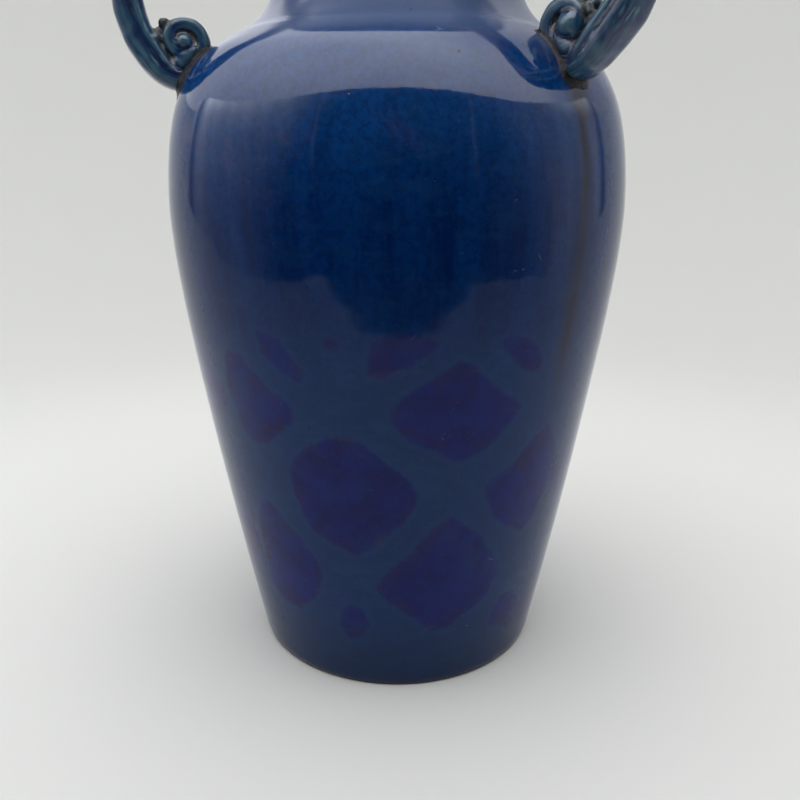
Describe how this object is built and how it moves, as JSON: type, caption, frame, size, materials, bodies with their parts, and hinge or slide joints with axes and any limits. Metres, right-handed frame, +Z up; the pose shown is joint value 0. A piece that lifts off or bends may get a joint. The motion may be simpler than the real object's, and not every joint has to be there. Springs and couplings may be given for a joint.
{
  "type": "vase",
  "caption": "Tall shouldered ceramic vase with a narrow neck, flared mouth and looped strap handles that end in rolled scrolls on the shoulder, in glossy cobalt glaze with a soft lattice.",
  "frame": {"origin": "middle of the flat base, on the axis the pot was thrown on", "axes": "+Z up along the axis of the pot; the pictured side faces -Y; the handles stand 120 degrees apart at -46.5, 193.5 and 73.5 degrees from +X"},
  "size_m": [0.1752, 0.1757, 0.2802],
  "materials": {
    "cobalt_glaze": "high gloss lustre glaze, deep cobalt with a slate-blue lattice and violet mottling",
    "teal_glaze": "high gloss teal-blue glaze, thin on the edges",
    "pooled_brown_glaze": "brown-olive glaze pooled over the luting clay"
  },
  "bodies": {
    "root": {"belly": "cobalt_glaze", "neck_and_mouth": "cobalt_glaze", "handle_right": "teal_glaze", "handle_left": "teal_glaze", "handle_back": "teal_glaze", "shoulder_luting_right": "pooled_brown_glaze", "shoulder_luting_left": "pooled_brown_glaze", "shoulder_luting_back": "pooled_brown_glaze", "neck_luting_right": "pooled_brown_glaze", "neck_luting_left": "pooled_brown_glaze", "neck_luting_back": "pooled_brown_glaze"}
  },
  "joints": []
}
